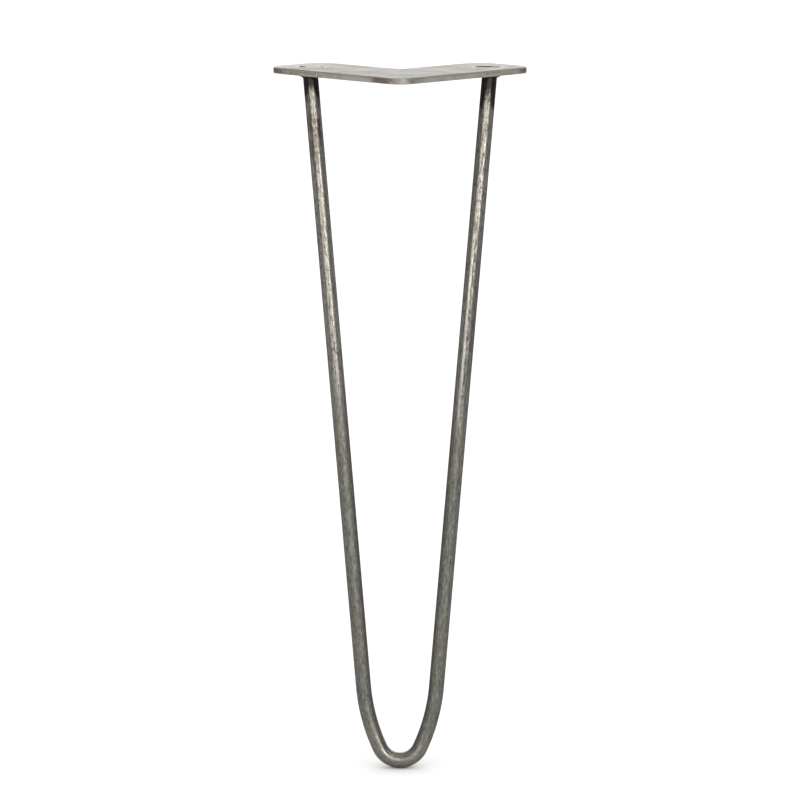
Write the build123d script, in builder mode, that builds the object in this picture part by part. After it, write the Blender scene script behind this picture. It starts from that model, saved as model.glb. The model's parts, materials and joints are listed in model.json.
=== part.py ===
from build123d import *
from math import acos, atan2, cos, degrees, hypot, radians, sin, sqrt
import os

# Hairpin table leg: a round bar bent into a hairpin, welded under a flat right-angled plate.
# The mounting face is z = 0 and the leg hangs below it. The origin is where the centrelines of
# the plate's two arms cross. The leg is symmetric about x = 0, and the plate's outer corner and
# the foot point towards -Y.

# Whole leg
leg_height = 450.0  # mounting face to the lowest point of the foot
lean_angle = 10.0  # outward lean of the hairpin, from the plate's normal

# Bar, with its bends measured on its centreline
bar_diameter = 10.0
foot_radius = 14.5  # tight bend at the foot
shoulder_radius = 120.0  # slow bend that leads from each prong into the foot
shoulder_angle = 25.0  # slope of the bar, from the hairpin's axis, where the two bends meet

# Plate
arm_length = 125.0  # along the outer edge, from corner to corner before they are rounded
arm_width = 50.0
plate_thickness = 4.0
corner_radius = 12.0  # outer corner of the elbow, and the arm ends
inner_radius = 5.0  # inside of the elbow
edge_round = 0.5  # rolled-over edges of the cut plate
slot_length = 17.0  # end to end
slot_width = 8.0
slot_inset = 21.5  # slot centre to the outer edge, and to the arm's end

# Seat of the bar on the plate
bar_inset = 6.0  # bar centre to the outer edge
bar_setback = 36.5  # bar centre to the arm's end

# Welds
weld_leg = 1.6  # fillet round the bar, along the bar and along the plate
lap_length = 20.0  # bead that laps over the plate's outer edge in front of each bar, end to end
lap_proud = 0.6  # how far the bead stands out from the edge
lap_clear = 0.4  # the bead's top stays this far below the mounting face
lap_hang = 0.7  # the bead's lowest point, below the plate's underside
lap_shift = 4.0  # middle of the bead, from the bar towards the elbow

# Places that follow from the sizes above
diagonal = sqrt(2)
bar_radius = bar_diameter / 2
corner_y = -arm_width / diagonal
bar_reach = arm_length - bar_setback
bar_x = (bar_reach - bar_inset) / diagonal
bar_y = corner_y + (bar_reach + bar_inset) / diagonal
slot_x = (arm_length - 2 * slot_inset) / diagonal
slot_y = corner_y + arm_length / diagonal

# The plate is drawn from its sharp outer corner, with the right arm along local x
elbow_plane = Plane(origin=(0, corner_y, 0), x_dir=(1, 1, 0), z_dir=(0, 0, 1))
edge_plane = Plane(origin=(0, corner_y, 0), x_dir=(1, 1, 0), z_dir=(1, -1, 0))
underside = Plane.XY.offset(-plate_thickness)

# In the hairpin's plane local x is global X, and local y runs up the hairpin's axis to the plate
lean = radians(lean_angle)
hairpin_plane = Plane(
    origin=(0, bar_y, -plate_thickness),
    x_dir=(1, 0, 0),
    z_dir=(0, -cos(lean), sin(lean)),
)
foot_drop = (leg_height - plate_thickness - bar_radius) / cos(lean)

# Each prong is the straight line from the bar's end that just touches the shoulder's circle
meeting = radians(shoulder_angle)
radius_step = shoulder_radius - foot_radius
centre_to_end_x = bar_x + radius_step * cos(meeting)
centre_to_end_y = foot_drop - foot_radius - radius_step * sin(meeting)
centre_to_end = hypot(centre_to_end_x, centre_to_end_y)
prong_angle = acos(shoulder_radius / centre_to_end) - atan2(centre_to_end_y, centre_to_end_x)
prong_length = sqrt(centre_to_end**2 - shoulder_radius**2)


# Mounting plate: one flat L with rounded corners and a slot in each arm
with BuildPart() as mounting_plate:
    with BuildSketch(elbow_plane) as outline:
        with BuildLine():
            Polyline(
                (0, 0),
                (arm_length, 0),
                (arm_length, arm_width),
                (arm_width, arm_width),
                (arm_width, arm_length),
                (0, arm_length),
                close=True,
            )
        make_face()
        inner_corner = (arm_width, arm_width)
        fillet(outline.vertices().sort_by_distance(inner_corner)[1:], corner_radius)
        fillet(outline.vertices().sort_by_distance(inner_corner)[0], inner_radius)
    extrude(amount=-plate_thickness)
    fillet(mounting_plate.edges().group_by(Axis.Z)[-1], edge_round)
    fillet(mounting_plate.edges().group_by(Axis.Z)[0], edge_round)
    with BuildSketch():
        with Locations((-slot_x, slot_y), (slot_x, slot_y)):
            SlotOverall(slot_length, slot_width)
    extrude(amount=-plate_thickness, mode=Mode.SUBTRACT)
mounting_plate.part.label = "mounting_plate"


# Hairpin rod: swept a little past the plate's underside, then cut flush with it
with BuildPart() as hairpin_rod:
    with BuildLine(hairpin_plane) as centreline:
        foot = JernArc((0, -foot_drop), (1, 0), foot_radius, 90 - shoulder_angle)
        shoulder = JernArc(foot @ 1, foot % 1, shoulder_radius, shoulder_angle - degrees(prong_angle))
        Line(shoulder @ 1, shoulder @ 1 + (shoulder % 1) * (prong_length + bar_diameter))
        mirror(about=Plane.YZ)
    path = centreline.wire()
    with BuildSketch(Plane(origin=path @ 0, z_dir=path % 0)):
        Circle(bar_radius)
    sweep(path=path)
    split(bisect_by=underside, keep=Keep.BOTTOM)
hairpin_rod.part.label = "hairpin_rod"


# Welds: a fillet round the bar's end, and a round-ended bead that laps over the plate's edge
bar_end = Vector(bar_x, bar_y, -plate_thickness)
fillet_plane = hairpin_plane.shift_origin(bar_end).rotated((0, 0, -degrees(prong_angle)))
lap_radius = (plate_thickness - lap_clear + lap_hang) / 2
lap_half = lap_length / 2 - lap_radius
lap_place = (bar_reach - lap_shift, lap_radius - lap_proud, -lap_clear - lap_radius)
lap_plane = Plane(origin=elbow_plane.from_local_coords(lap_place), x_dir=(1, 1, 0), z_dir=(0, 0, 1))

with BuildPart() as weld_right:
    with BuildSketch(fillet_plane):
        with BuildLine():
            Polyline(
                (0, -weld_leg),
                (bar_radius, -weld_leg),
                (bar_radius + weld_leg + bar_diameter, bar_diameter),
                (0, bar_diameter),
                close=True,
            )
        make_face()
    revolve(axis=Axis(fillet_plane.origin, fillet_plane.y_dir))
    split(bisect_by=underside, keep=Keep.BOTTOM)
    split(bisect_by=edge_plane, keep=Keep.BOTTOM)
    with BuildSketch(lap_plane):
        with BuildLine():
            CenterArc((-lap_half, 0), lap_radius, 90, 90)
            CenterArc((lap_half, 0), lap_radius, 0, 90)
            Line((-lap_half, lap_radius), (lap_half, lap_radius))
            Line((-lap_length / 2, 0), (lap_length / 2, 0))
        make_face()
    revolve(axis=Axis(lap_plane.origin, lap_plane.x_dir))
    add(mounting_plate.part, mode=Mode.SUBTRACT)
    add(hairpin_rod.part, mode=Mode.SUBTRACT)
weld_right.part.label = "weld_right"

with BuildPart() as weld_left:
    mirror(weld_right.part, about=Plane.YZ)
weld_left.part.label = "weld_left"


# One file for each piece
os.makedirs("parts", exist_ok=True)
export_step(mounting_plate.part, "parts/mounting_plate.step")
export_step(hairpin_rod.part, "parts/hairpin_rod.step")
export_step(weld_left.part, "parts/weld_left.step")
export_step(weld_right.part, "parts/weld_right.step")
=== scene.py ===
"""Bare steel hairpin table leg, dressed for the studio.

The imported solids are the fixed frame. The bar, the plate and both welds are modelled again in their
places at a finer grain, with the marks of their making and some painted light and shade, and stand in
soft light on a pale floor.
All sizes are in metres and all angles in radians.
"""

import json
import logging
from abc import ABC, abstractmethod
from collections.abc import Callable, Iterator
from contextlib import contextmanager
from dataclasses import dataclass
from enum import Enum
from math import acos, atan2, cos, hypot, pi, radians, sin, sqrt, tau
from random import Random
from types import SimpleNamespace
from typing import TypeAlias

import bmesh
import bpy
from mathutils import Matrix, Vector


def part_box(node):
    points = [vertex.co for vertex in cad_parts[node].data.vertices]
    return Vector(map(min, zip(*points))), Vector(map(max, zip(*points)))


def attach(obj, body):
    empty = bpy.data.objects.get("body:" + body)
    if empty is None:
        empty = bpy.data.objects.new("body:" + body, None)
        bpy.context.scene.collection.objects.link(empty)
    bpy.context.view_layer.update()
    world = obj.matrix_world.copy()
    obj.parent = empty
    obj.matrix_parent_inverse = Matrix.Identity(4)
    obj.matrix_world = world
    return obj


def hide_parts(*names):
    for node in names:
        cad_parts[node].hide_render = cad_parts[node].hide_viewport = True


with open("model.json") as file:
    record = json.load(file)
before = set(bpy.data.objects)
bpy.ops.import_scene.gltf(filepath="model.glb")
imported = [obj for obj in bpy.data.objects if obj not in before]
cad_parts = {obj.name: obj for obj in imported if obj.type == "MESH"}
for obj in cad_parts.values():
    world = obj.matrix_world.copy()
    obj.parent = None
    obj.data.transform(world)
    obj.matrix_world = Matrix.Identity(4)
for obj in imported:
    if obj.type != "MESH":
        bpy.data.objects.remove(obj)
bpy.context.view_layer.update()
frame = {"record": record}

LOG = logging.getLogger("hairpin_leg")
MILLIMETRE = 0.001
BODY = "root"
STRAIGHT_BAR = "straight_bar"
RELIEF_DEPTH = 0.05 * MILLIMETRE
WHITE = (1.0, 1.0, 1.0, 1.0)
WARM_LIGHT = (1.0, 0.98, 0.93)

Piece: TypeAlias = bpy.types.Object
Triple: TypeAlias = tuple[float, float, float]
Colour: TypeAlias = tuple[float, float, float, float]


class Side(Enum):
    """The two arms of the plate, by the sign of their x."""

    LEFT = -1
    RIGHT = 1


class Slot(Enum):
    """The record's material slots."""

    BAR = "bare_bar"
    PLATE = "bare_plate"
    WELD = "weld_metal"


class Element(Enum):
    """What can be picked in a mesh: the selection mode, and where the mesh keeps it."""

    VERT = "verts"
    EDGE = "edges"


@dataclass(frozen=True)
class LegSizes:
    """Driving sizes of the leg, and the places that follow from them.

    The mounting face is z = 0, the origin is where the arms' centrelines cross, and the plate's outer
    corner points towards -Y.
    """

    foot_z: float
    underside_z: float
    slot_x: float
    slot_y: float
    slot_length: float
    slot_radius: float
    lean: float = radians(10.0)
    bar_radius: float = 5.0 * MILLIMETRE
    foot_radius: float = 14.5 * MILLIMETRE
    shoulder_radius: float = 120.0 * MILLIMETRE
    shoulder_angle: float = radians(25.0)
    arm_length: float = 125.0 * MILLIMETRE
    arm_width: float = 50.0 * MILLIMETRE
    corner_radius: float = 12.0 * MILLIMETRE
    inner_radius: float = 5.0 * MILLIMETRE
    edge_round: float = 0.5 * MILLIMETRE
    bar_inset: float = 6.0 * MILLIMETRE
    bar_setback: float = 36.5 * MILLIMETRE

    @classmethod
    def from_frame(cls) -> "LegSizes":
        """Reads the leg's height, the plate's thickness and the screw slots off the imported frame.

        Returns:
            The sizes, with the rest at their drawn values.
        """
        mounts = {mount["name"]: mount for mount in frame["record"]["mounts"]}
        slots = mounts["screw_slots"]
        return cls(
            foot_z=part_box("hairpin_rod")[0].z,
            underside_z=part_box("mounting_plate")[0].z,
            slot_x=slots["dims"]["spacing_x_mm"] / 2 * MILLIMETRE,
            slot_y=slots["pos_m"][1],
            slot_length=slots["dims"]["slot_length_mm"] * MILLIMETRE,
            slot_radius=slots["dims"]["hole_r_mm"] * MILLIMETRE,
        )

    @property
    def corner_y(self) -> float:
        """Where the plate's two outer edges would cross."""
        return -self.arm_width / sqrt(2)

    @property
    def bar_reach(self) -> float:
        """From the sharp outer corner to a bar end, along the outer edge."""
        return self.arm_length - self.bar_setback

    @property
    def slot_half_run(self) -> float:
        """From a slot's middle to the hub of its round end."""
        return self.slot_length / 2 - self.slot_radius

    def on_arm(self, along: float, across: float, z: float, side: Side) -> Vector:
        """Finds a point from its place on an arm.

        Args:
            along: Distance from the sharp outer corner, along the outer edge.
            across: Distance inwards from the outer edge.
            z: Height.
            side: Which arm.

        Returns:
            The point in the leg's frame.
        """
        x = (along - across) / sqrt(2)
        y = self.corner_y + (along + across) / sqrt(2)
        return Vector((side.value * x, y, z))

    def bar_end(self, side: Side) -> Vector:
        """Centre of a bar end, on the plate's underside."""
        return self.on_arm(self.bar_reach, self.bar_inset, self.underside_z, side)


class BarPath:
    """Centreline of the bent bar: a foot arc, and a shoulder arc and a straight prong on each side.

    In the hairpin's plane, across is global X and up runs along the hairpin's axis to the plate.
    """

    def __init__(self, sizes: LegSizes) -> None:
        """Works out the arcs and the prong of the right half.

        Args:
            sizes: The leg's sizes.
        """
        end = sizes.bar_end(Side.RIGHT)
        self.sizes = sizes
        self.origin = Vector((0.0, end.y, end.z))
        self.across = Vector((1.0, 0.0, 0.0))
        self.up = Vector((0.0, sin(sizes.lean), cos(sizes.lean)))
        self.front = self.across.cross(self.up)
        drop = (end.z - sizes.foot_z - sizes.bar_radius) / cos(sizes.lean)
        step = sizes.shoulder_radius - sizes.foot_radius
        self.foot_turn = pi / 2 - sizes.shoulder_angle
        self.foot_hub = (0.0, sizes.foot_radius - drop)
        self.shoulder_hub = (-step * sin(self.foot_turn), self.foot_hub[1] + step * cos(self.foot_turn))
        reach = (end.x - self.shoulder_hub[0], -self.shoulder_hub[1])
        self.prong_angle = acos(sizes.shoulder_radius / hypot(*reach)) - atan2(reach[1], reach[0])
        self.prong_length = sqrt(hypot(*reach) ** 2 - sizes.shoulder_radius**2)
        self.shoulder_turn = sizes.shoulder_angle - self.prong_angle
        self.foot_run = sizes.foot_radius * self.foot_turn
        self.bend_run = self.foot_run + sizes.shoulder_radius * self.shoulder_turn

    @property
    def prong_direction(self) -> Vector:
        """Upward direction of the right prong."""
        return sin(self.prong_angle) * self.across + cos(self.prong_angle) * self.up

    def place(self, across: float, up: float) -> Vector:
        """Takes a point in the hairpin's plane to the leg's frame."""
        return self.origin + across * self.across + up * self.up

    def unbend(self, point: Vector) -> Vector:
        """Finds where a point of the bar lay before the bar was bent.

        Args:
            point: A point in the leg's frame.

        Returns:
            Its distance to the outside of the bend, its distance to the front, and its place along the
            bar from the middle of the foot, which is negative on the left.
        """
        offset = point - self.origin
        across, up = abs(offset.dot(self.across)), offset.dot(self.up)
        foot_arm = (across - self.foot_hub[0], self.foot_hub[1] - up)
        shoulder_arm = (across - self.shoulder_hub[0], self.shoulder_hub[1] - up)
        foot_turn = atan2(*foot_arm)
        shoulder_turn = atan2(*shoulder_arm) - self.foot_turn
        if foot_turn < self.foot_turn:
            outwards = hypot(*foot_arm) - self.sizes.foot_radius
            along = self.sizes.foot_radius * foot_turn
        elif shoulder_turn < self.shoulder_turn:
            outwards = hypot(*shoulder_arm) - self.sizes.shoulder_radius
            along = self.foot_run + self.sizes.shoulder_radius * shoulder_turn
        else:
            rise, run = cos(self.prong_angle), sin(self.prong_angle)
            outwards = shoulder_arm[0] * rise + shoulder_arm[1] * run - self.sizes.shoulder_radius
            along = self.bend_run + shoulder_arm[0] * run - shoulder_arm[1] * rise
        side = -1.0 if offset.dot(self.across) < 0 else 1.0
        return Vector((outwards, offset.dot(self.front), side * along))


class Bench:
    """Modelling steps that every piece needs, made with Blender's own operators."""

    SMOOTH_ANGLE = radians(40.0)
    MERGE_DISTANCE = 0.001 * MILLIMETRE

    @staticmethod
    def clear() -> None:
        """Leaves nothing selected."""
        bpy.ops.object.select_all(action="DESELECT")

    @staticmethod
    def adopt(name: str) -> Piece:
        """Names the piece that an operator has just added.

        Args:
            name: The name of the piece and of its mesh.

        Returns:
            The piece.
        """
        piece = bpy.context.object
        piece.name = name
        piece.data.name = name
        return piece

    @staticmethod
    def choose(*pieces: Piece) -> None:
        """Selects these pieces alone.

        Args:
            *pieces: The pieces, of which the first becomes the active one.
        """
        Bench.clear()
        for piece in pieces:
            piece.select_set(True)
        bpy.context.view_layer.objects.active = pieces[0]

    @staticmethod
    @contextmanager
    def editing(piece: Piece) -> Iterator[None]:
        """Opens a piece in edit mode with all of it selected.

        Args:
            piece: The mesh object to edit.

        Yields:
            Nothing; edit mode ends with the block.
        """
        Bench.choose(piece)
        bpy.ops.object.mode_set(mode="EDIT")
        bpy.ops.mesh.select_all(action="SELECT")
        yield
        bpy.ops.object.mode_set(mode="OBJECT")

    @staticmethod
    def pick(piece: Piece, kind: Element, test: Callable[[list[Vector]], bool]) -> None:
        """Selects vertices or edges of an open piece by where they lie.

        Args:
            piece: A piece in edit mode.
            kind: What to select.
            test: Says from an element's corners, in the leg's frame, whether it is wanted.
        """
        bpy.ops.mesh.select_mode(type=kind.name)
        bpy.ops.mesh.select_all(action="DESELECT")
        mesh = bmesh.from_edit_mesh(piece.data)
        for element in getattr(mesh, kind.value):
            corners = [element] if kind is Element.VERT else element.verts
            if test([piece.matrix_world @ corner.co for corner in corners]):
                element.select_set(True)
        mesh.select_flush_mode()
        bmesh.update_edit_mesh(piece.data)

    @staticmethod
    def settle(piece: Piece) -> None:
        """Puts a piece's place into its mesh, with its object at the origin."""
        Bench.choose(piece)
        bpy.ops.object.transform_apply(location=True, rotation=True, scale=True)

    @staticmethod
    def modify(piece: Piece, kind: str, **settings: object) -> None:
        """Adds a modifier to a piece and applies it.

        Args:
            piece: The mesh object.
            kind: The modifier's type.
            **settings: Values of the modifier's own properties.
        """
        modifier = piece.modifiers.new(kind.title(), kind)
        for name, value in settings.items():
            setattr(modifier, name, value)
        Bench.choose(piece)
        bpy.ops.object.modifier_apply(modifier=modifier.name)

    @staticmethod
    def carve(piece: Piece, tool: Piece) -> None:
        """Cuts one solid out of another."""
        Bench.modify(piece, "BOOLEAN", operation="DIFFERENCE", solver="EXACT", object=tool)

    @staticmethod
    def discard(piece: Piece) -> None:
        """Takes a cutting tool or a pattern away.

        Args:
            piece: What is no longer needed.
        """
        mesh = piece.data
        bpy.data.objects.remove(piece)
        bpy.data.meshes.remove(mesh)

    @staticmethod
    def close(piece: Piece) -> None:
        """Merges doubled vertices and turns all faces outwards.

        Args:
            piece: The mesh object.
        """
        with Bench.editing(piece):
            bpy.ops.mesh.remove_doubles(threshold=Bench.MERGE_DISTANCE)
            bpy.ops.mesh.normals_make_consistent(inside=False)

    @staticmethod
    def smooth(piece: Piece) -> None:
        """Shades a piece smooth, apart from its sharp edges."""
        Bench.choose(piece)
        bpy.ops.object.shade_smooth_by_angle(angle=Bench.SMOOTH_ANGLE)

    @staticmethod
    def seat(piece: Piece, node: str, slot: Slot, finish: "Finish") -> None:
        """Hands a finished piece over to the frame, in the place of a solid.

        Args:
            piece: The finished piece, at the origin.
            node: The solid that it stands for.
            slot: The record's material slot; not used.
            finish: What it is dressed in.
        """
        piece.data.materials.clear()
        piece.data.materials.append(finish.material())
        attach(piece, BODY)
        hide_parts(node)
        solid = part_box(node)
        corners = [Vector(corner) for corner in piece.bound_box]
        low = Vector(map(min, *corners)) - solid[0]
        high = Vector(map(max, *corners)) - solid[1]
        drift = max(abs(value) for value in (*low, *high)) / MILLIMETRE
        faces = sum(len(polygon.vertices) - 2 for polygon in piece.data.polygons)
        LOG.info("%s stands for %s: %d triangles, box within %.2f mm", piece.name, node, faces, drift)


@dataclass(frozen=True, eq=False)
class Signal:
    """A value, a place or a colour that changes over a surface, and what nodes can make of it."""

    wiring: "Wiring"
    socket: bpy.types.NodeSocket

    RANGE_ENDS = ("From Min", "From Max", "To Min", "To Max")
    MIX_SHARE = 0
    MIX_LOW = 6
    MIX_HIGH = 7
    MIX_COLOUR = 2

    def __add__(self, other: "Feed") -> "Signal":
        """Adds a value."""
        return self.wiring.maths("ADD", self, other)

    def __sub__(self, other: "Feed") -> "Signal":
        """Takes a value away."""
        return self.wiring.maths("SUBTRACT", self, other)

    def __rsub__(self, other: "Feed") -> "Signal":
        """Takes this signal away from a value."""
        return self.wiring.maths("SUBTRACT", other, self)

    def __mul__(self, other: "Feed") -> "Signal":
        """Multiplies by a value."""
        return self.wiring.maths("MULTIPLY", self, other)

    def __truediv__(self, other: "Feed") -> "Signal":
        """Divides by a value."""
        return self.wiring.maths("DIVIDE", self, other)

    def __abs__(self) -> "Signal":
        """Leaves the sign off."""
        return self.wiring.maths("ABSOLUTE", self)

    __radd__ = __add__
    __rmul__ = __mul__

    def larger(self, other: "Feed") -> "Signal":
        """Takes the larger of this signal and a value."""
        return self.wiring.maths("MAXIMUM", self, other)

    def hypot(self, other: "Signal") -> "Signal":
        """Finds the distance that two distances at a right angle make up."""
        return self.wiring.maths("SQRT", self * self + other * other)

    def ease(self, low: float, high: float) -> "Signal":
        """Goes smoothly from 0 at low to 1 at high, where low may be the larger."""
        ends = (min(low, high), max(low, high), float(low > high), float(low <= high))
        return self._range(ends, "SMOOTHSTEP")

    def band(self, start: float, full: float, fading: float, gone: float) -> "Signal":
        """Rises from 0 at start to 1 at full, and falls from 1 at fading to 0 at gone."""
        return self.ease(start, full) * self.ease(gone, fading)

    def span(self, low: float, high: float) -> "Signal":
        """Takes 0 to 1 onto low to high."""
        return self._range((0.0, 1.0, low, high), "LINEAR")

    def _range(self, ends: tuple[float, ...], way: str) -> "Signal":
        """Takes one range of values onto another."""
        given = dict(zip(self.RANGE_ENDS, ends), Value=self)
        return self.wiring.signal("ShaderNodeMapRange", "Result", given, interpolation_type=way)

    def blend(self, low: "Feed", high: "Feed") -> "Signal":
        """Mixes two colours, with this signal as the share of the second."""
        given = {self.MIX_SHARE: self, self.MIX_LOW: low, self.MIX_HIGH: high}
        return self.wiring.signal("ShaderNodeMix", self.MIX_COLOUR, given, data_type="RGBA")

    def coat(self, *coats: "tuple[Signal, Feed]") -> "Signal":
        """Lays colours over this one, one after the other.

        Args:
            *coats: The share that each coat covers, and its colour.

        Returns:
            The colour that is seen in the end.
        """
        seen = self
        for share, colour in coats:
            seen = share.blend(seen, colour)
        return seen

    def bump(self, strength: float) -> "Signal":
        """Turns a height of 0 to 1 into a normal."""
        given = {"Height": self, "Strength": strength, "Distance": RELIEF_DEPTH}
        return self.wiring.signal("ShaderNodeBump", "Normal", given)

    def split(self) -> "list[Signal]":
        """Takes a place apart into x, y and z."""
        node = self.wiring.add("ShaderNodeSeparateXYZ", {"Vector": self})
        return [Signal(self.wiring, part) for part in node.outputs]

    def turn(self, angle: float) -> "Signal":
        """Turns the places of a pattern about z."""
        given = {"Vector": self, "Rotation": (0.0, 0.0, angle)}
        return self.wiring.signal("ShaderNodeMapping", "Vector", given)

    def noise(self, density: float, detail: float = 3.0, grit: float = 0.55) -> "Signal":
        """Lays a noise over these places, with so many cells to the metre."""
        given = {"Vector": self, "Scale": density, "Detail": detail, "Roughness": grit}
        return self.wiring.signal("ShaderNodeTexNoise", "Fac", given)

    def streaks(self, density: "Feed", detail: float = 4.0, grit: float = 0.55) -> "Signal":
        """Lays a noise over these places, with a density of its own along each axis."""
        drawn = self.wiring.signal(
            "ShaderNodeVectorMath", "Vector", {0: self, 1: density}, operation="MULTIPLY"
        )
        return drawn.noise(1.0, detail, grit)


Feed: TypeAlias = float | tuple[float, ...] | Signal
Feeds: TypeAlias = dict[str | int, Feed]
Signals: TypeAlias = dict[str, Signal]


class Wiring:
    """Adds nodes to one shader tree, and gives what they put out as signals."""

    def __init__(self, tree: bpy.types.NodeTree) -> None:
        """Takes the node tree of a material, a group or a world."""
        self.tree = tree

    def feed(self, socket: bpy.types.NodeSocket, value: Feed) -> None:
        """Links a signal to a socket, or sets the socket to a constant.

        Args:
            socket: A node's input.
            value: What it gets.
        """
        if isinstance(value, Signal):
            self.tree.links.new(value.socket, socket)
        else:
            socket.default_value = value

    def add(self, kind: str, given: Feeds | None = None, **settings: object) -> bpy.types.Node:
        """Adds one node.

        Args:
            kind: The node's type.
            given: What goes to its inputs, by their names or their places.
            **settings: Values of the node's own properties.

        Returns:
            The node.
        """
        node = self.tree.nodes.new(kind)
        for name, value in settings.items():
            setattr(node, name, value)
        for name, value in (given or {}).items():
            self.feed(node.inputs[name], value)
        return node

    def signal(
        self, kind: str, output: str | int, given: Feeds | None = None, **settings: object
    ) -> Signal:
        """Adds one node and gives one of its outputs."""
        return Signal(self, self.add(kind, given, **settings).outputs[output])

    def maths(self, operation: str, *values: Feed) -> Signal:
        """Puts one Math node on one or two values."""
        return self.signal("ShaderNodeMath", "Value", dict(enumerate(values)), operation=operation)

    def coordinates(self) -> Signal:
        """Gives a point's place in the leg's frame."""
        return self.signal("ShaderNodeTexCoord", "Object")

    def mirrored(self) -> Signal:
        """Says whether a point is seen in a reflection."""
        return self.signal("ShaderNodeLightPath", "Is Glossy Ray")


class Effect(ABC):
    """A surface effect that several finishes share, kept as one shader node group."""

    name: str
    inputs: dict[str, str]
    outputs: dict[str, str]

    @abstractmethod
    def wire(self, given: Signals) -> Signals:
        """Fills the group.

        Args:
            given: The group's inputs by name.

        Returns:
            What goes to each of the group's outputs.
        """

    def group(self) -> bpy.types.NodeTree:
        """Builds the group once.

        Returns:
            The group's node tree.
        """
        found = bpy.data.node_groups.get(self.name)
        if found:
            return found
        tree = bpy.data.node_groups.new(self.name, "ShaderNodeTree")
        for way, kinds in (("INPUT", self.inputs), ("OUTPUT", self.outputs)):
            for name, kind in kinds.items():
                tree.interface.new_socket(name, in_out=way, socket_type=f"NodeSocket{kind}")
        wiring = Wiring(tree)
        entry = wiring.add("NodeGroupInput")
        given = {name: Signal(wiring, entry.outputs[name]) for name in self.inputs}
        wiring.add("NodeGroupOutput", self.wire(given))
        return tree

    def use(self, place: Signal, **given: Feed) -> Signals:
        """Lays the effect over a surface's places, and gives the group's outputs by name."""
        node = place.wiring.add("ShaderNodeGroup", {"Vector": place, **given}, node_tree=self.group())
        return {name: Signal(place.wiring, node.outputs[name]) for name in self.outputs}

    def mask(self, place: Signal, **given: Feed) -> Signal:
        """Lays the effect over a surface's places, and gives its mask alone."""
        return self.use(place, **given)["Mask"]


class RolledLines(Effect):
    """Fine lines that run along the metal, from rolling, drawing or wiping."""

    name = "rolled_lines"
    inputs = {"Vector": "Vector", "Density": "Vector"}
    outputs = {"Mask": "Float"}

    def wire(self, given: Signals) -> Signals:
        """Draws out a noise that is dense across the lines and slow along them."""
        drawn = given["Vector"].streaks(given["Density"], grit=0.65)
        return {"Mask": drawn.ease(0.3, 0.7)}


class ScaleFlecks(Effect):
    """Small dark flakes of mill scale that still cling to the metal."""

    name = "scale_flecks"
    inputs = {"Vector": "Vector", "Density": "Vector", "Cover": "Float"}
    outputs = {"Mask": "Float"}

    def wire(self, given: Signals) -> Signals:
        """Cuts a gritty noise at a height that leaves the wanted cover."""
        grit = given["Vector"].streaks(given["Density"], detail=5.0, grit=0.62)
        return {"Mask": (grit - (1.0 - given["Cover"])).ease(0.0, 0.06)}


class RustBloom(Effect):
    """Thin brown oxide that creeps in from an edge and breaks up."""

    PURPLE_BROWN = (0.17, 0.115, 0.11, 1.0)
    TAN = (0.36, 0.265, 0.215, 1.0)
    CLOUD_DENSITY = 160.0
    SPECK_DENSITY = 900.0

    name = "rust_bloom"
    inputs = {"Vector": "Vector", "Reach": "Float"}
    outputs = {"Mask": "Float", "Colour": "Color"}

    def wire(self, given: Signals) -> Signals:
        """Breaks the reach up with a cloudy noise, and tints it from purple brown to tan.

        Args:
            given: The place, and how far the rust reaches there from 0 to 1.

        Returns:
            The rust's mask and its colour.
        """
        place, reach = given["Vector"], given["Reach"]
        broken = place.noise(self.CLOUD_DENSITY, detail=5.0, grit=0.6) + 0.9 * reach
        specks = place.noise(self.SPECK_DENSITY).ease(0.35, 0.7)
        return {
            "Mask": broken.ease(0.72, 1.22) * reach.ease(0.02, 0.5),
            "Colour": specks.blend(self.PURPLE_BROWN, self.TAN),
        }


class HeatTint(Effect):
    """Oxide colours round a weld: olive next to it, then straw, fading into the bare metal."""

    CLOUD_DENSITY = 240.0
    UNEVENNESS = 0.7
    STOPS = (
        (0.0, (0.20, 0.21, 0.15, 1.0)),
        (0.35, (0.40, 0.40, 0.27, 1.0)),
        (0.62, (0.38, 0.33, 0.20, 1.0)),
        (0.8, (0.24, 0.20, 0.23, 1.0)),
        (1.0, (0.33, 0.33, 0.36, 1.0)),
    )

    name = "heat_tint"
    inputs = {"Vector": "Vector", "Distance": "Float"}
    outputs = {"Mask": "Float", "Colour": "Color"}

    def wire(self, given: Signals) -> Signals:
        """Runs through the oxide colours by a distance that a noise makes uneven.

        Args:
            given: The place, and its distance from the weld as a share of the heat's reach.

        Returns:
            The tint's mask and its colour.
        """
        place = given["Vector"]
        distance = given["Distance"] + self.UNEVENNESS * (place.noise(self.CLOUD_DENSITY) - 0.5)
        ramp = place.wiring.add("ShaderNodeValToRGB", {"Fac": distance})
        stops = ramp.color_ramp.elements
        while len(stops) < len(self.STOPS):
            stops.new(1.0)
        for stop, (position, colour) in zip(stops, self.STOPS):
            stop.position = position
            stop.color = colour
        return {"Mask": distance.ease(1.0, 0.45), "Colour": Signal(place.wiring, ramp.outputs["Color"])}


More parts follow.
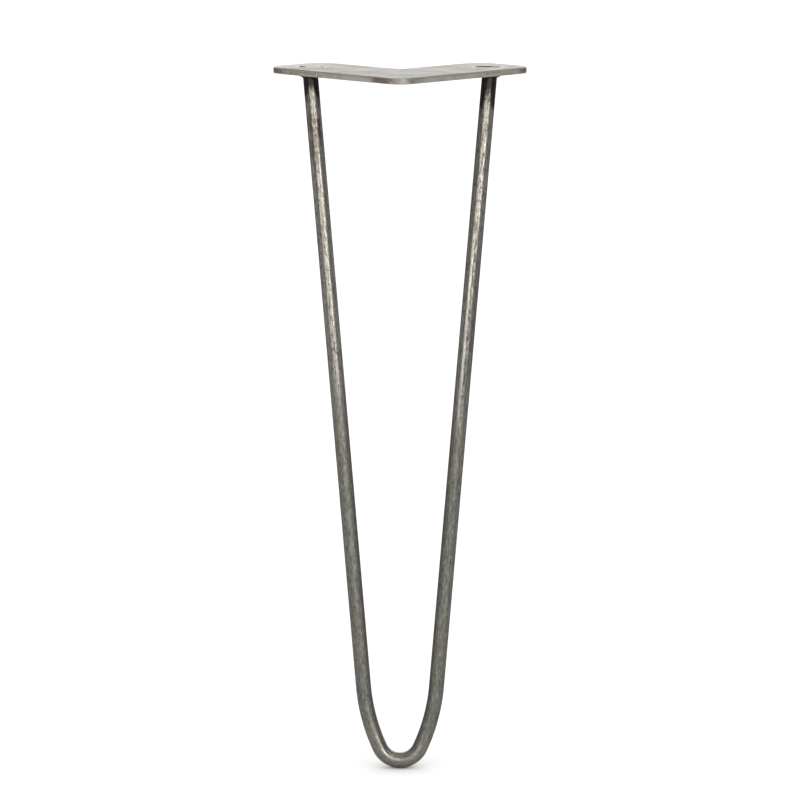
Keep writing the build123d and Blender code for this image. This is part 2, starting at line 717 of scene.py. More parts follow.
class Finish(ABC):
    """How a piece's surface looks."""

    name: str

    @abstractmethod
    def paint(self, wiring: Wiring) -> Feeds:
        """Wires the finish.

        Args:
            wiring: The material's tree.

        Returns:
            What goes to each input of the Principled shader.
        """

    @staticmethod
    def steel(colour: Signal, roughness: Signal, normal: Signal, glancing: Colour = WHITE) -> Feeds:
        """Gathers the looks of bare metal.

        Args:
            colour: Its colour.
            roughness: Its roughness.
            normal: Its relief.
            glancing: What tints it at a glancing angle.

        Returns:
            What goes to each input of the Principled shader.
        """
        return {
            "Base Color": colour,
            "Roughness": roughness,
            "Normal": normal,
            "Metallic": 1.0,
            "Specular Tint": glancing,
        }

    def material(self) -> bpy.types.Material:
        """Makes the material once.

        Returns:
            The material, with one Principled shader.
        """
        found = bpy.data.materials.get(self.name)
        if found:
            return found
        material = bpy.data.materials.new(self.name)
        material.use_nodes = True
        material.node_tree.nodes.clear()
        wiring = Wiring(material.node_tree)
        surface = wiring.signal("ShaderNodeBsdfPrincipled", "BSDF", self.paint(wiring))
        wiring.add("ShaderNodeOutputMaterial", {"Surface": surface})
        return material


@dataclass(frozen=True)
class BarFinish(Finish):
    """Hot rolled bar: wear and painted highlight above, matt with scale below, heat tint and painted shade
    at the welds.

    A drift is how far a border wanders with the bar's patches.
    """

    sizes: LegSizes
    name: str = "hot_rolled_bar"
    # Painted highlight: the colour of a pale strip on the right prong.
    bare: Colour = (0.80, 0.78, 0.70, 1.0)
    worn_and_lit: Colour = (0.56, 0.54, 0.475, 1.0)
    # Colour of the bar's lower part, which also paints shade beside the highlight strip.
    dull_and_shaded: Colour = (0.33, 0.33, 0.29, 1.0)
    tan: Colour = (0.30, 0.25, 0.20, 1.0)
    browned: Colour = (0.205, 0.155, 0.125, 1.0)
    # Mill scale colour, which also paints shade on the bar's inner and outer sides.
    scale: Colour = (0.11, 0.10, 0.10, 1.0)
    # Heat tint colour, darkened further as painted shade under the plate.
    burnt_and_shaded: Colour = (0.042, 0.039, 0.038, 1.0)
    edge_tint: Colour = (0.50, 0.50, 0.53, 1.0)
    dull_roughness: float = 0.52
    worn_roughness: float = 0.25
    patch_density: float = 55.0
    speckle_density: float = 1500.0
    line_density: Triple = (1500.0, 1500.0, 45.0)
    mottle_density: Triple = (900.0, 900.0, 260.0)
    blotch_density: Triple = (420.0, 420.0, 110.0)
    flake_density: Triple = (1050.0, 1050.0, 330.0)
    dash_density: Triple = (1250.0, 1250.0, 110.0)
    side_fade: float = 50.0 * MILLIMETRE
    # Where the lighter upper part, wear and painted highlight, fades out.
    worn_and_lit_from: float = -265.0 * MILLIMETRE
    worn_and_lit_to: float = -150.0 * MILLIMETRE
    worn_and_lit_drift: float = 80.0 * MILLIMETRE
    strip_from: float = -245.0 * MILLIMETRE
    strip_to: float = -85.0 * MILLIMETRE
    strip_fade: float = 40.0 * MILLIMETRE
    # How far the dark band under the plate reaches: heat tint and painted shade.
    burn_shade_reach: float = 22.0 * MILLIMETRE
    burn_shade_drift: float = 20.0 * MILLIMETRE
    burn_shade_less_in_front: float = 8.0 * MILLIMETRE
    burn_shade_more_on_right: float = 3.0 * MILLIMETRE
    browned_reach: float = 70.0 * MILLIMETRE
    browned_drift: float = 30.0 * MILLIMETRE
    bend_reach: float = 45.0 * MILLIMETRE
    burnished_from: float = 10.0 * MILLIMETRE
    burnished_to: float = -12.0 * MILLIMETRE

    def paint(self, wiring: Wiring) -> Feeds:
        """Wires the bar's colours, roughness and relief on the coordinates of the straight bar."""
        zones = self._zones(wiring)
        return self.steel(self._colour(zones), self._roughness(zones), self._relief(zones), self.edge_tint)

    def _zones(self, wiring: Wiring) -> SimpleNamespace:
        """Marks out the places and patterns of the bar.

        Args:
            wiring: The material's tree.

        Returns:
            Masks of 0 to 1 by name.
        """
        radius = self.sizes.bar_radius
        straight = wiring.signal("ShaderNodeAttribute", "Vector", attribute_name=STRAIGHT_BAR)
        out, ahead, along = straight.split()
        outwards = out / radius
        height = wiring.coordinates().split()[2]
        patches = straight.noise(self.patch_density, detail=4.0)
        uneven = patches - 0.5
        right = along.ease(-self.side_fade, self.side_fade)
        bent = (abs(along) / self.bend_reach).ease(1.0, 0.3)

        # Heat tint and painted shade: the bar is dark just under the plate, less far down its front,
        # further on the right.
        below_plate = self.sizes.underside_z - height
        in_front = (ahead / radius).ease(0.7, 1.0)
        past_burn_shade = below_plate + self.burn_shade_less_in_front * in_front - self.burn_shade_more_on_right * right
        past_burn_shade = (past_burn_shade + self.burn_shade_drift * uneven) / self.burn_shade_reach
        browning = (below_plate + self.browned_drift * uneven) / self.browned_reach
        blotches = straight.streaks(self.blotch_density)

        # Painted highlight: a pale strip along the inner half of the right prong, with painted shade
        # beside it.
        strip_full = (self.strip_from + self.strip_fade, self.strip_to - self.strip_fade)
        strip_run = right * height.band(self.strip_from, *strip_full, self.strip_to)
        specked = strip_run * outwards.band(-0.12, 0.0, 0.16, 0.32)
        flake_cover = 0.455 + 0.1 * uneven + 0.05 * specked
        dash_cover = right.span(0.445, 0.48) - 0.1 * uneven
        flakes = ScaleFlecks().mask(straight, Density=self.flake_density, Cover=flake_cover)
        dashes = ScaleFlecks().mask(straight, Density=self.dash_density, Cover=dash_cover)
        return SimpleNamespace(
            right=right,
            bent=bent,
            patches=patches,
            lines=RolledLines().mask(straight, Density=self.line_density),
            speckle=straight.noise(self.speckle_density, detail=4.0, grit=0.6),
            mottle=straight.streaks(self.mottle_density),
            flecks=flakes.larger(0.8 * dashes),
            # Lighter upper part: wear and painted highlight in the colour, smoother in the roughness.
            worn_and_lit=(height + self.worn_and_lit_drift * uneven).ease(self.worn_and_lit_from, self.worn_and_lit_to),
            strip=strip_run * outwards.band(-0.5, -0.36, -0.14, 0.0),
            beside_highlight_strip=strip_run * outwards.ease(-0.22, 0.0),
            specked=specked,
            burnished=bent * outwards.ease(0.2, -0.3) * along.ease(self.burnished_from, self.burnished_to),
            # Painted shade on the bar's inner side.
            inside=outwards.ease(-0.5, -1.0),
            # Painted shade on the bar's outer side.
            outside=outwards.ease(0.15, 0.7),
            burnt_and_shaded=past_burn_shade.ease(1.0, 0.55),
            browned=browning.band(0.3, 0.42, 0.6, 1.0) * (1.0 - right) * blotches.ease(0.4, 0.6),
        )

    def _colour(self, zones: SimpleNamespace) -> Signal:
        """Lays the bar's colours over each other.

        Args:
            zones: The bar's masks.

        Returns:
            The base colour.
        """
        right, worn_and_lit = zones.right, zones.worn_and_lit
        # The upper bar is lighter as wear and painted highlight; the bend is lighter as wear.
        rubbed_and_lit = worn_and_lit.larger(zones.bent * right.span(0.4, 0.15))
        off_strip = worn_and_lit.span(0.35, 0.8) * zones.strip.span(1.0, 0.25)
        return rubbed_and_lit.blend(self.dull_and_shaded, self.worn_and_lit).coat(
            (zones.patches.ease(0.5, 0.72) * right.span(0.4, 0.15), self.tan),
            (0.95 * zones.browned, self.browned),
            # Painted shade beside the painted highlight strip, then the strip itself.
            (0.8 * zones.beside_highlight_strip, self.dull_and_shaded),
            (0.9 * zones.strip, self.bare),
            (zones.lines.span(0.4, 0.0), self.scale),
            (0.35 * zones.mottle.ease(0.5, 0.38), self.scale),
            (zones.mottle.ease(0.53, 0.66) * worn_and_lit.span(0.42, 0.3), self.worn_and_lit),
            (zones.speckle.ease(0.55, 0.72) * worn_and_lit.span(0.5, 0.3), self.worn_and_lit),
            (zones.flecks * off_strip.larger(zones.specked), self.scale),
            (0.4 * zones.burnished, self.worn_and_lit),
            # Painted shade: the prongs' inner side is darkened, more in their lower part.
            (zones.inside * worn_and_lit.span(0.5, 0.35) * (1.0 - zones.bent), self.scale),
            # Painted shade: the outer side of the lighter upper part is darkened, which narrows the
            # highlight inwards.
            (0.45 * zones.outside * worn_and_lit, self.scale),
            # Heat tint and painted shade: dark under the plate.
            (zones.burnt_and_shaded, self.burnt_and_shaded),
        )

    def _roughness(self, zones: SimpleNamespace) -> Signal:
        """Makes the worn places and the bend smoother than the scale.

        Args:
            zones: The bar's masks.

        Returns:
            The roughness.
        """
        rubbed_and_lit = zones.worn_and_lit.larger(zones.bent * zones.right.span(1.15, 0.3))
        roughness = rubbed_and_lit.span(self.dull_roughness, self.worn_roughness)
        return roughness + 0.14 * zones.flecks + zones.lines.span(0.05, -0.04) - 0.14 * zones.burnished

    @staticmethod
    def _relief(zones: SimpleNamespace) -> Signal:
        """Raises the rolled lines and the specks, and sinks the flecks where scale came off."""
        relief = 0.3 * zones.lines + 0.5 * zones.speckle - 0.4 * zones.flecks
        return relief.bump(0.45)


@dataclass(frozen=True)
class PlateFinish(Finish):
    """Bare cut plate: pale and scratched on its faces, darker on its cut edges, browned at the tips."""

    sizes: LegSizes
    name: str = "bare_cut_plate"
    face: Colour = (0.52, 0.508, 0.456, 1.0)
    smudge: Colour = (0.39, 0.38, 0.338, 1.0)
    edge: Colour = (0.60, 0.575, 0.535, 1.0)
    broken_edge: Colour = (0.44, 0.42, 0.345, 1.0)
    scratch: Colour = (0.58, 0.572, 0.534, 1.0)
    # Painted highlight on the tips.
    painted_tip_glint: Colour = (0.62, 0.585, 0.535, 1.0)
    # Painted light on the slot walls.
    lit_slot_wall: Colour = (0.78, 0.77, 0.72, 1.0)
    # Painted shade on the slot walls.
    painted_slot_shade: Colour = (0.03, 0.03, 0.03, 1.0)
    clear_roughness: float = 0.40
    cloudy_roughness: float = 0.56
    cloud_density: float = 45.0
    stain_density: float = 120.0
    grain_density: float = 1400.0
    wipe_angle: float = radians(38.0)
    wipe_density: Triple = (900.0, 22.0, 400.0)
    scuff_angle: float = radians(-61.0)
    scuff_density: Triple = (1500.0, 40.0, 400.0)
    stria_density: Triple = (1700.0, 1700.0, 120.0)
    fleck_density: Triple = (330.0, 330.0, 330.0)
    fleck_cover: float = 0.4
    side_fade: float = 20.0 * MILLIMETRE
    edge_from: float = 0.1 * MILLIMETRE
    edge_full: float = 0.8 * MILLIMETRE
    torn_drift: float = 1.0 * MILLIMETRE
    rust_from: float = 82.0 * MILLIMETRE
    right_clean: float = 8.0 * MILLIMETRE
    corner_rust: float = 34.0 * MILLIMETRE
    tip_from: float = 22.0 * MILLIMETRE
    tip_full: float = 8.0 * MILLIMETRE
    heat_reach: float = 23.0 * MILLIMETRE
    slot_rim: float = 0.3 * MILLIMETRE
    deburred_full: float = 1.3 * MILLIMETRE
    deburred_reach: float = 5.3 * MILLIMETRE

    def paint(self, wiring: Wiring) -> Feeds:
        """Wires the plate's faces, edges and tips and the heated places over the bar ends."""
        zones = self._zones(wiring.coordinates())
        return self.steel(self._colour(zones), self._roughness(zones), self._relief(zones))

    def _zones(self, place: Signal) -> SimpleNamespace:
        """Marks out the places and patterns of the plate.

        Args:
            place: A point's place in the leg's frame.

        Returns:
            Masks of 0 to 1 by name, and the colours of the rust and the heat.
        """
        sizes = self.sizes
        x, y, height = place.split()
        sideways = abs(x)
        right = x.ease(-self.side_fade, self.side_fade)
        along = (y - sizes.corner_y + sideways) / sqrt(2)
        middle = sizes.underside_z / 2
        below_face = -middle - abs(height - middle)
        on_edge = below_face.ease(self.edge_from, self.edge_full)
        clouds = place.noise(self.cloud_density, detail=5.0, grit=0.6)

        bar_end = sizes.bar_end(Side.RIGHT)
        from_bar = (sideways - bar_end.x).hypot(y - bar_end.y)
        heat = HeatTint().use(place, Distance=from_bar / self.heat_reach)
        near_bar = height.ease(sizes.underside_z, 0.0).span(0.9, 0.08)

        half_run = sizes.slot_half_run
        past_run = (abs(sideways - sizes.slot_x) - half_run).larger(0.0)
        from_wall = past_run.hypot(y - sizes.slot_y) - sizes.slot_radius
        in_slot = from_wall.ease(2.0 * self.slot_rim, self.slot_rim)
        # Painted shade: the slot walls are painted black, over most of the right slot and at the left end
        # of the left one.
        left_slot_shade = 0.9 * (x + sizes.slot_x).ease(-0.5 * half_run, -1.5 * half_run)
        right_slot_shade = right * (x - sizes.slot_x).ease(2.0 * half_run, 0.0)

        tips = (along - self.right_clean * right).ease(self.rust_from, sizes.arm_length)
        from_corner = along / self.corner_rust
        corner = from_corner.ease(1.0, 0.5) * from_corner.ease(0.1, 0.4).span(0.62, 1.0)
        corner = corner * on_edge * x.ease(-self.side_fade / 2, self.side_fade / 2).span(0.8, 0.5)
        reach = (tips * on_edge.span(0.2, 1.0)).larger(corner).larger(0.3 * on_edge)
        rust = RustBloom().use(place, Reach=reach)
        from_tip = sizes.arm_length - along
        return SimpleNamespace(
            on_edge=on_edge,
            clouds=clouds,
            stains=place.noise(self.stain_density, detail=4.0, grit=0.6),
            grain=place.noise(self.grain_density),
            wiped=RolledLines().mask(place.turn(self.wipe_angle), Density=self.wipe_density),
            scuffed=RolledLines().mask(place.turn(self.scuff_angle), Density=self.scuff_density),
            striae=RolledLines().mask(place, Density=self.stria_density),
            flecks=ScaleFlecks().mask(place, Density=self.fleck_density, Cover=self.fleck_cover),
            torn=(height + self.torn_drift * clouds).ease(middle, 0.0),
            # Painted highlight: the tips are painted paler, more on the left arm.
            at_tip=from_tip.ease(self.tip_from, self.tip_full) * right.span(0.75, 0.25),
            in_slot=in_slot,
            deburred=from_wall.ease(self.deburred_reach, self.deburred_full),
            slot_shade=in_slot * left_slot_shade.larger(right_slot_shade),
            heated=heat["Mask"] * near_bar,
            heat_colour=heat["Colour"],
            rusted=rust["Mask"],
            rust_colour=rust["Colour"],
        )

    def _colour(self, zones: SimpleNamespace) -> Signal:
        """Lays the plate's colours over each other.

        Args:
            zones: The plate's masks.

        Returns:
            The base colour.
        """
        broken = zones.torn * zones.striae.span(0.8, 0.4)
        edge = broken.blend(self.edge, self.broken_edge)
        return zones.clouds.ease(0.36, 0.66).blend(self.face, self.smudge).coat(
            (0.5 * zones.stains.ease(0.52, 0.72), self.smudge),
            (zones.wiped.span(0.4, 0.0), self.smudge),
            (0.6 * zones.scuffed.ease(0.8, 1.0), self.scratch),
            (0.2 * zones.flecks, self.smudge),
            (0.8 * zones.deburred, self.scratch),
            (zones.at_tip, self.painted_tip_glint),
            (zones.on_edge, edge),
            (zones.heated, zones.heat_colour),
            (0.8 * zones.rusted, zones.rust_colour),
            # Painted light: the slot walls are painted pale.
            (zones.in_slot, self.lit_slot_wall),
            # Painted shade in the slots.
            (zones.slot_shade, self.painted_slot_shade),
        )

    def _roughness(self, zones: SimpleNamespace) -> Signal:
        """Makes the wiped places smoother and the rust rougher."""
        roughness = zones.clouds.span(self.clear_roughness, self.cloudy_roughness)
        return roughness + 0.25 * zones.rusted - 0.06 * zones.deburred - 0.08 * zones.wiped

    @staticmethod
    def _relief(zones: SimpleNamespace) -> Signal:
        """Raises the wiped lines and the cut edge's striae, and sinks the scratches."""
        on_faces = 0.25 * zones.wiped + 0.35 * zones.grain - 0.2 * zones.scuffed
        return (on_faces + 0.6 * zones.striae * zones.on_edge).bump(0.3)


@dataclass(frozen=True)
class WeldFinish(Finish):
    """Weld metal as left after cooling: olive oxide on rippled steel, black next to the plate's underside.
    """

    sizes: LegSizes
    name: str = "as_laid_weld"
    metal: Colour = (0.64, 0.62, 0.535, 1.0)
    oxide: Colour = (0.52, 0.505, 0.41, 1.0)
    underside_black: Colour = (0.03, 0.028, 0.029, 1.0)
    underside_black_depth: float = 0.7 * MILLIMETRE
    cloud_density: float = 320.0
    crust_density: float = 2200.0

    def paint(self, wiring: Wiring) -> Feeds:
        """Wires the oxide's clouds, the black next to the plate's underside and a fine crust.

        Args:
            wiring: The material's tree.

        Returns:
            What goes to each input of the Principled shader.
        """
        place = wiring.coordinates()
        clouds = place.noise(self.cloud_density, detail=4.0)
        crust = place.noise(self.crust_density, detail=4.0)
        tint = HeatTint().use(place, Distance=clouds.span(0.1, 0.9))
        above_underside = place.split()[2] - self.sizes.underside_z
        # Darker in a thin band next to the plate's underside.
        next_to_underside = (above_underside + self.underside_black_depth * clouds).ease(self.underside_black_depth, 0.0)
        metal = clouds.ease(0.35, 0.7).blend(self.metal, self.oxide)
        colour = metal.coat((0.25 * tint["Mask"], tint["Colour"]), (next_to_underside, self.underside_black))
        return self.steel(colour, crust.span(0.35, 0.6), crust.bump(0.3))


@dataclass(frozen=True)
class FloorFinish(Finish):
    """Pale matt floor that the metal sees as a mid grey."""

    name: str = "pale_floor"
    seen: Colour = (0.97, 0.97, 0.97, 1.0)
    mirrored: Colour = (0.47, 0.47, 0.46, 1.0)

    def paint(self, wiring: Wiring) -> Feeds:
        """Wires one colour for the eye and one for reflections."""
        colour = wiring.mirrored().blend(self.seen, self.mirrored)
        return {"Base Color": colour, "Roughness": 0.9, "Specular IOR Level": 0.0}


@dataclass
class HairpinBar:
    """The bent round bar."""

    sizes: LegSizes
    sides: int = 64
    foot_steps: int = 26
    shoulder_steps: int = 24
    prong_cuts: int = 130
    spare: float = 10.0 * MILLIMETRE
    waviness: float = 0.06 * MILLIMETRE
    wave_size: float = 14.0 * MILLIMETRE

    def build(self) -> Piece:
        """Sweeps a circle round the foot and the shoulder and up a prong, cuts it flush and mirrors it.

        Returns:
            The finished bar.
        """
        path = BarPath(self.sizes)
        Bench.clear()
        bpy.ops.mesh.primitive_circle_add(
            vertices=self.sides,
            radius=self.sizes.bar_radius,
            location=path.place(*path.foot_hub) - self.sizes.foot_radius * path.up,
            rotation=(0.0, pi / 2, 0.0),
        )
        bar = Bench.adopt("hairpin_bar")
        Bench.settle(bar)
        bends = (
            (self.foot_steps, path.foot_turn, path.foot_hub),
            (self.shoulder_steps, path.shoulder_turn, path.shoulder_hub),
        )
        rise = (path.prong_length + self.spare) * path.prong_direction
        with Bench.editing(bar):
            for steps, turn, hub in bends:
                bpy.ops.mesh.spin(steps=steps, angle=turn, center=path.place(*hub), axis=-path.front)
            bpy.ops.mesh.extrude_region_move(TRANSFORM_OT_translate={"value": rise})
            Bench.pick(bar, Element.EDGE, lambda ends: (ends[0] - ends[1]).length > path.prong_length)
            bpy.ops.mesh.subdivide(number_cuts=self.prong_cuts)
            bpy.ops.mesh.select_all(action="SELECT")
            bpy.ops.mesh.bisect(
                plane_co=path.origin, plane_no=(0.0, 0.0, 1.0), clear_outer=True, use_fill=True
            )
        Bench.modify(bar, "MIRROR", use_axis=(True, False, False), merge_threshold=Bench.MERGE_DISTANCE)
        Bench.close(bar)
        self._roll_unevenly(bar)
        self._remember_straight(bar, path)
        Bench.smooth(bar)
        return bar

    def _roll_unevenly(self, bar: Piece) -> None:
        """Sinks the surface in shallow waves, as hot rolling leaves it.

        Args:
            bar: The whole bar.
        """
        waves = bpy.data.textures.new("rolling_waves", "CLOUDS")
        waves.noise_scale = self.wave_size
        Bench.modify(
            bar, "DISPLACE", texture=waves, texture_coords="LOCAL", strength=self.waviness, mid_level=1.0
        )

    @staticmethod
    def _remember_straight(bar: Piece, path: BarPath) -> None:
        """Keeps each point's place on the straight bar, for patterns that follow the bends.

        Args:
            bar: The whole bar.
            path: Its centreline.
        """
        kept = bar.data.attributes.new(STRAIGHT_BAR, "FLOAT_VECTOR", "POINT")
        for vertex, place in zip(bar.data.vertices, kept.data):
            place.vector = path.unbend(vertex.co)


@dataclass
class MountingPlate:
    """The flat right-angled plate with a screw slot in each arm."""

    sizes: LegSizes
    corner_segments: int = 20
    roll_segments: int = 4
    slot_sides: int = 48
    slot_roll: float = 0.25 * MILLIMETRE
    slot_roll_segments: int = 2
    punch_spare: float = 2.0 * MILLIMETRE
    flat_angle: float = radians(1.0)
    near: float = 0.01 * MILLIMETRE

    def build(self) -> Piece:
        """Pulls two arms out of a square, rounds the outline, thickens it, rolls its edges and slots it.

        Returns:
            The finished plate.
        """
        sizes, width = self.sizes, self.sizes.arm_width
        Bench.clear()
        bpy.ops.mesh.primitive_plane_add(size=width, location=(width / 2, width / 2, 0.0))
        plate = Bench.adopt("corner_plate")
        with Bench.editing(plate):
            for axis in (0, 1):
                self._pull_arm(plate, axis)
            bpy.ops.mesh.select_all(action="SELECT")
            bpy.ops.mesh.dissolve_limited(angle_limit=self.flat_angle)
            inner = Vector((width, width, 0.0))
            Bench.pick(plate, Element.VERT, lambda corner: (corner[0] - inner).length > self.near)
            self._round_corners(sizes.corner_radius)
            Bench.pick(plate, Element.VERT, lambda corner: (corner[0] - inner).length < self.near)
            self._round_corners(sizes.inner_radius)
            bpy.ops.mesh.select_all(action="SELECT")
            down = (0.0, 0.0, sizes.underside_z)
            bpy.ops.mesh.extrude_region_move(TRANSFORM_OT_translate={"value": down})
            Bench.pick(plate, Element.EDGE, lambda ends: abs(ends[0].z - ends[1].z) < self.near)
            bpy.ops.mesh.bevel(offset=sizes.edge_round, segments=self.roll_segments, affect="EDGES")
        plate.rotation_euler.z = pi / 4
        corner = Vector((0.0, sizes.corner_y, 0.0))
        plate.location = corner + plate.rotation_euler.to_matrix() @ plate.location
        Bench.settle(plate)
        Bench.close(plate)
        for side in Side:
            self._cut_slot(plate, side)
        Bench.smooth(plate)
        Bench.modify(plate, "WEIGHTED_NORMAL", keep_sharp=True)
        return plate

    def _pull_arm(self, plate: Piece, axis: int) -> None:
        """Extrudes the square's far edge to the arm's length.

        Args:
            plate: The flat square, open for editing.
            axis: 0 for the arm along x, 1 for the arm along y.
        """
        width, length = self.sizes.arm_width, self.sizes.arm_length

        def on_far_edge(ends: list[Vector]) -> bool:
            """Says whether an edge is the square's own far edge."""
            far = all(abs(end[axis] - width) < self.near for end in ends)
            return far and all(end[1 - axis] < width + self.near for end in ends)

        Bench.pick(plate, Element.EDGE, on_far_edge)
        pull = [0.0, 0.0, 0.0]
        pull[axis] = length - width
        bpy.ops.mesh.extrude_region_move(TRANSFORM_OT_translate={"value": pull})

    def _round_corners(self, radius: float) -> None:
        """Rounds the selected corners of the flat outline."""
        bpy.ops.mesh.bevel(offset=radius, segments=self.corner_segments, affect="VERTICES")

    def _cut_slot(self, plate: Piece, side: Side) -> None:
        """Cuts one oblong slot through the plate and rolls its rims.

        Args:
            plate: The plate, in its place.
            side: Which arm.
        """
        sizes = self.sizes
        middle = Vector((side.value * sizes.slot_x, sizes.slot_y, sizes.underside_z - self.punch_spare))
        drive = (0.0, 0.0, 2.0 * self.punch_spare - sizes.underside_z)
        Bench.clear()
        bpy.ops.mesh.primitive_circle_add(
            vertices=self.slot_sides, radius=sizes.slot_radius, fill_type="NGON", location=middle
        )
        punch = Bench.adopt("slot_punch")
        with Bench.editing(punch):
            for way in (-1, 1):
                Bench.pick(punch, Element.VERT, lambda corner: way * (corner[0].x - middle.x) > self.near)
                bpy.ops.transform.translate(value=(way * sizes.slot_half_run, 0.0, 0.0))
            bpy.ops.mesh.select_all(action="SELECT")
            bpy.ops.mesh.extrude_region_move(TRANSFORM_OT_translate={"value": drive})
            bpy.ops.mesh.select_all(action="SELECT")
            bpy.ops.mesh.normals_make_consistent(inside=False)
        Bench.carve(plate, punch)
        Bench.discard(punch)

        def on_rim(ends: list[Vector]) -> bool:
            """Says whether an edge lies on one of the slot's two rims.

            Args:
                ends: The edge's two ends.

            Returns:
                Whether it does.
            """
            level = abs(ends[0].z - ends[1].z) < self.near
            inside = all(
                abs(end.x - middle.x) < sizes.slot_length / 2 + self.near
                and abs(end.y - middle.y) < sizes.slot_radius + self.near
                for end in ends
            )
            return level and inside

        with Bench.editing(plate):
            Bench.pick(plate, Element.EDGE, on_rim)
            bpy.ops.mesh.bevel(offset=self.slot_roll, segments=self.slot_roll_segments, affect="EDGES")


@dataclass(frozen=True)
class Ripple:
    """Where one ripple of a weld lies, how it is turned, and its half sizes."""

    spot: Vector
    turn: float
    half_sizes: Triple


@dataclass
class WeldBead:
    """The weld at one bar end: a ring of ripples round the bar, and a lap over the plate's edge."""

    sizes: LegSizes
    side: Side
    ring_ripples: int = 26
    ring_offset: float = 0.2 * MILLIMETRE
    ring_half_sizes: Triple = (1.2 * MILLIMETRE, 1.0 * MILLIMETRE, 1.2 * MILLIMETRE)
    lap_ripples: int = 11
    lap_run: float = 15.8 * MILLIMETRE
    lap_shift: float = 4.0 * MILLIMETRE
    lap_proud: float = 0.5 * MILLIMETRE
    lap_clear: float = 0.4 * MILLIMETRE
    lap_half_sizes: Triple = (1.9 * MILLIMETRE, 1.2 * MILLIMETRE, 2.1 * MILLIMETRE)
    drop_segments: int = 24
    drop_rings: int = 14
    trail: float = 0.6
    unevenness: float = 0.08
    grain: float = 0.2 * MILLIMETRE
    melt: float = 0.5
    melt_rounds: int = 3

    def build(self, plate: Piece, bar: Piece) -> Piece:
        """Lays overlapping ripples, melts them together and trims them to the plate and the bar.

        Args:
            plate: The finished plate.
            bar: The finished bar.

        Returns:
            The finished weld.
        """
        chance = Random(self.side.name)
        drop = self._drop()
        laid = [self._lay(drop, ripple, chance) for ripple in (*self._ring(), *self._lap())]
        Bench.discard(drop)
        Bench.choose(*laid)
        bpy.ops.object.join()
        bead = Bench.adopt(f"weld_bead_{self.side.name.lower()}")
        Bench.settle(bead)
        Bench.modify(bead, "REMESH", mode="VOXEL", voxel_size=self.grain)
        Bench.modify(bead, "SMOOTH", factor=self.melt, iterations=self.melt_rounds)
        Bench.carve(bead, plate)
        Bench.carve(bead, bar)
        Bench.close(bead)
        Bench.smooth(bead)
        return bead

    def _ring(self) -> Iterator[Ripple]:
        """Places ripples under the plate.

        Yields:
            The ripples round the bar's end.
        """
        reach = self.sizes.bar_radius + self.ring_offset
        for step in range(self.ring_ripples):
            angle = tau * step / self.ring_ripples
            spot = self.sizes.bar_end(self.side) + reach * Vector((cos(angle), sin(angle), 0.0))
            yield Ripple(spot, angle + pi / 2, self.ring_half_sizes)

    def _lap(self) -> Iterator[Ripple]:
        """Places ripples in front of the bar.

        Yields:
            The ripples along the plate's outer edge.
        """
        across = self.lap_half_sizes[1] - self.lap_proud
        height = -self.lap_clear - self.lap_half_sizes[2]
        first = self.sizes.bar_reach - self.lap_shift - self.lap_run / 2
        for step in range(self.lap_ripples):
            along = first + self.lap_run * step / (self.lap_ripples - 1)
            spot = self.sizes.on_arm(along, across, height, self.side)
            yield Ripple(spot, self.side.value * pi / 4, self.lap_half_sizes)

    def _drop(self) -> Piece:
        """Models one drop of weld metal, with a steep front and a trailing back.

        Returns:
            The drop, with half sizes of 1.
        """
        Bench.clear()
        bpy.ops.mesh.primitive_uv_sphere_add(
            segments=self.drop_segments, ring_count=self.drop_rings, radius=1.0
        )
        drop = Bench.adopt("weld_drop")
        with Bench.editing(drop):
            Bench.pick(drop, Element.VERT, lambda corner: corner[0].x > 0.0)
            bpy.ops.transform.resize(value=(self.trail, 1.0, 1.0), center_override=(0.0, 0.0, 0.0))
        return drop

    def _lay(self, drop: Piece, ripple: Ripple, chance: Random) -> Piece:
        """Copies the drop to one place of the weld.

        Args:
            drop: The drop to copy.
            ripple: Where the copy goes.
            chance: Draws its unevenness.

        Returns:
            The copy.
        """
        Bench.choose(drop)
        bpy.ops.object.duplicate(linked=False)
        copy = bpy.context.object
        copy.location = ripple.spot
        copy.rotation_euler.z = ripple.turn
        copy.scale = [size * chance.uniform(1.0 - self.unevenness, 1.0) for size in ripple.half_sizes]
        return copy


@dataclass(frozen=True)
class Softbox:
    """A rectangular studio light that faces the leg."""

    name: str
    place: Triple
    target: Triple
    width: float
    height: float
    radiance: float
    colour: Triple = (1.0, 1.0, 1.0)

    def hang(self) -> None:
        """Adds the light to the scene, out of the camera's sight and off the matt floor."""
        lamp = bpy.data.lights.new(self.name, "AREA")
        lamp.shape = "RECTANGLE"
        lamp.size, lamp.size_y = self.width, self.height
        lamp.energy = self.radiance * pi * self.width * self.height
        lamp.color = self.colour
        light = bpy.data.objects.new(self.name, lamp)
        light.location = self.place
        aim = Vector(self.target) - Vector(self.place)
        light.rotation_euler = aim.to_track_quat("-Z", "Y").to_euler()
        light.visible_camera = False
        light.visible_diffuse = False
        bpy.context.scene.collection.objects.link(light)


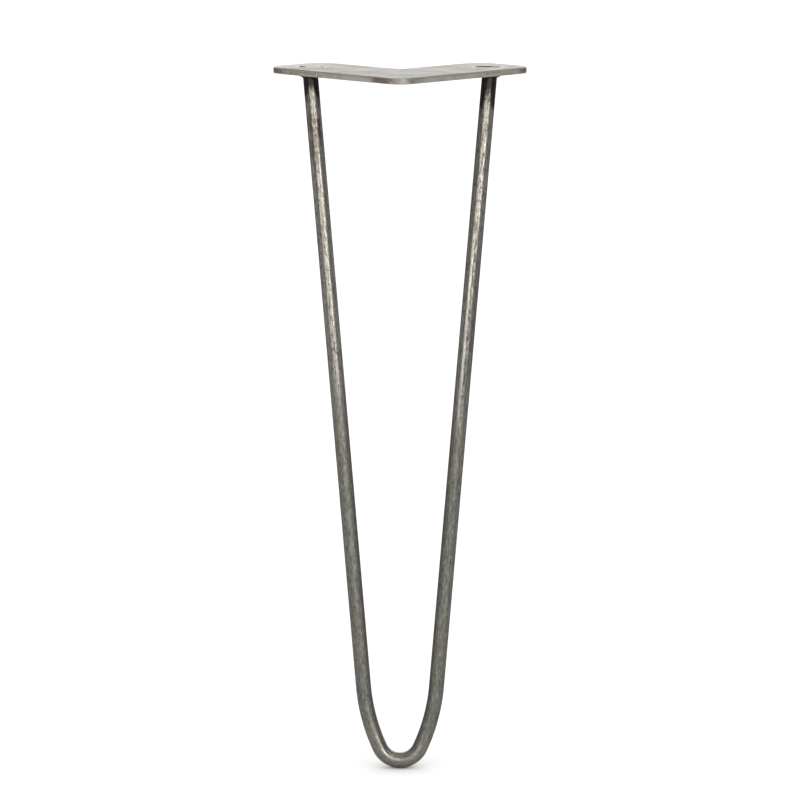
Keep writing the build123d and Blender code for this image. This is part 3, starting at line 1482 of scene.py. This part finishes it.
@dataclass
class Studio:
    """Pale floor, soft lights and the camera."""

    sizes: LegSizes
    floor_size: float = 60.0
    ambient: float = 1.18
    mirrored_ambient: float = 0.2
    camera_distance: float = 1.8
    camera_height: float = 0.16616
    camera_pitch: float = radians(11.680)
    camera_lens: float = 85.753
    framing: float = 1.5
    softboxes: tuple[Softbox, ...] = (
        Softbox("key_front", (0.2, -2.6, 0.72), (0.2, 0.0, 0.0), 4.6, 1.0, 1.5, WARM_LIGHT),
        Softbox("fill_front", (0.0, -2.7, -0.15), (0.0, 0.0, -0.2), 5.0, 0.6, 0.48),
        Softbox("key_right", (0.95, -2.06, 0.40), (0.0, 0.0, -0.4), 0.4, 0.5, 3.0, WARM_LIGHT),
        Softbox("strip_front", (0.45, -1.5, 0.9), (0.0, 0.0, -0.4), 0.9, 0.2, 2.5, WARM_LIGHT),
        Softbox("overhead", (0.0, 0.0, 1.0), (0.0, 0.0, 0.0), 4.4, 1.4, 0.4),
        Softbox("rear_right", (2.3, 1.8, 0.25), (0.0, 0.0, -0.4), 1.8, 0.8, 0.32),
        Softbox("backlight", (0.0, 2.6, 0.75), (0.0, 0.0, 0.0), 4.0, 1.5, 1.26),
        Softbox("side_left", (-2.6, -0.3, -0.1), (0.0, 0.0, -0.1), 2.5, 0.7, 0.3),
        Softbox("side_right", (2.6, -0.3, -0.1), (0.0, 0.0, -0.1), 2.5, 0.7, 0.22),
    )

    def build(self) -> None:
        """Lays the floor, hangs the lights, sets the surroundings and places the camera."""
        Bench.clear()
        bpy.ops.mesh.primitive_plane_add(size=self.floor_size, location=(0.0, 0.0, self.sizes.foot_z))
        floor = Bench.adopt("floor")
        floor.data.materials.append(FloorFinish().material())
        for softbox in self.softboxes:
            softbox.hang()
        self._surround()
        self._place_camera()

    def _surround(self) -> None:
        """Sets a white surrounding that lights the floor, and that the metal mirrors as a dim grey."""
        world = bpy.data.worlds.new("white_surround")
        world.use_nodes = True
        world.cycles.sampling_method = "NONE"
        wiring = Wiring(world.node_tree)
        background = world.node_tree.nodes["Background"]
        strength = wiring.mirrored().span(self.ambient, self.mirrored_ambient)
        wiring.feed(background.inputs["Color"], WHITE)
        wiring.feed(background.inputs["Strength"], strength)
        bpy.context.scene.world = world
        bpy.context.scene.view_settings.view_transform = "Standard"

    def _place_camera(self) -> None:
        """Looks at the leg from the front and a little above its plate."""
        lens = bpy.data.cameras.new("camera")
        lens.lens = self.camera_lens * self.framing
        camera = bpy.data.objects.new("camera", lens)
        camera.location = (0.0, self.sizes.corner_y - self.camera_distance, self.camera_height)
        camera.rotation_euler = (pi / 2 - self.camera_pitch, 0.0, 0.0)
        bpy.context.scene.collection.objects.link(camera)
        bpy.context.scene.camera = camera


def main() -> None:
    """Builds the leg and its studio."""
    logging.basicConfig(level=logging.INFO, format="%(name)s: %(message)s")
    sizes = LegSizes.from_frame()
    bar = HairpinBar(sizes).build()
    plate = MountingPlate(sizes).build()
    beads = {side: WeldBead(sizes, side).build(plate, bar) for side in Side}
    Bench.seat(bar, "hairpin_rod", Slot.BAR, BarFinish(sizes))
    Bench.seat(plate, "mounting_plate", Slot.PLATE, PlateFinish(sizes))
    for side, bead in beads.items():
        Bench.seat(bead, f"weld_{side.name.lower()}", Slot.WELD, WeldFinish(sizes))
    Studio(sizes).build()


if __name__ == "__main__":
    main()
